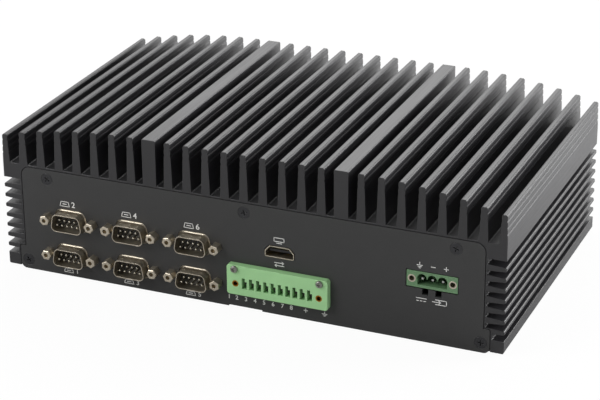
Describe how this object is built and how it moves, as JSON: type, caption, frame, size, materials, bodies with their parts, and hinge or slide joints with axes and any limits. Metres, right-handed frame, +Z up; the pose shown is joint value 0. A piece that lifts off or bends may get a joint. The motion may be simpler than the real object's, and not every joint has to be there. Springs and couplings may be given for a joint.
{
  "type": "fanless industrial pc",
  "caption": "Fanless industrial PC: dark finned aluminium case with stacked serial ports, a video socket, a green signal header and a green DC power header on its front panel.",
  "frame": {"origin": "under the middle of the case's bounding box, on the surface it rests on", "axes": "+X to the right seen from the front, +Y to the rear, +Z up"},
  "size_m": [0.264, 0.1582, 0.0812],
  "materials": {
    "anodised_case": "dark anodised extruded aluminium",
    "panel_coat": "fine-textured dark powder coat",
    "nickel_steel": "bright nickel-plated steel",
    "zinc_screw": "zinc-plated steel screw",
    "black_screw": "black-oxide steel screw",
    "black_plastic": "moulded black glass-filled plastic",
    "green_plastic": "moulded green polyamide",
    "brass": "turned brass",
    "tin_contact": "tin-plated copper contact",
    "gold_contact": "gold-plated contact",
    "circuit_board": "green solder-masked laminate",
    "chip_resin": "moulded black chip resin",
    "silicon": "polished bare die",
    "thermal_pad": "grey thermal pad",
    "milled_aluminium": "milled bare aluminium"
  },
  "bodies": {
    "root": {"board_chips": "chip_resin", "board_screws": "zinc_screw", "board_standoffs": "zinc_screw", "bottom_cover": "panel_coat", "capacitors": "milled_aluminium", "cell_holder": "black_plastic", "coin_cell": "tin_contact", "cover_screws": "black_screw", "front_panel": "panel_coat", "heat_block": "milled_aluminium", "heat_block_screws": "black_screw", "heatsink_housing": "anodised_case", "inductors": "chip_resin", "io_board": "circuit_board", "io_header": "green_plastic", "io_inserts": "brass", "io_link": "black_plastic", "io_pins": "tin_contact", "io_screws": "zinc_screw", "mainboard": "circuit_board", "memory_chips": "chip_resin", "memory_module": "circuit_board", "memory_socket": "black_plastic", "panel_screws": "black_screw", "power_header": "green_plastic", "power_inserts": "brass", "power_pins": "tin_contact", "processor_die": "silicon", "processor_package": "circuit_board", "rear_panel": "panel_coat", "serial_body_1": "black_plastic", "serial_body_2": "black_plastic", "serial_body_3": "black_plastic", "serial_contacts_1": "gold_contact", "serial_contacts_2": "gold_contact", "serial_contacts_3": "gold_contact", "serial_contacts_4": "gold_contact", "serial_contacts_5": "gold_contact", "serial_contacts_6": "gold_contact", "serial_insulator_1": "black_plastic", "serial_insulator_2": "black_plastic", "serial_insulator_3": "black_plastic", "serial_insulator_4": "black_plastic", "serial_insulator_5": "black_plastic", "serial_insulator_6": "black_plastic", "serial_jackscrews": "nickel_steel", "serial_shell_1": "nickel_steel", "serial_shell_2": "nickel_steel", "serial_shell_3": "nickel_steel", "serial_shell_4": "nickel_steel", "serial_shell_5": "nickel_steel", "serial_shell_6": "nickel_steel", "storage_chips": "chip_resin", "storage_fixing": "zinc_screw", "storage_module": "circuit_board", "storage_socket": "black_plastic", "thermal_pad": "thermal_pad", "video_contacts": "gold_contact", "video_insulator": "black_plastic", "video_shell": "nickel_steel"}
  },
  "joints": []
}
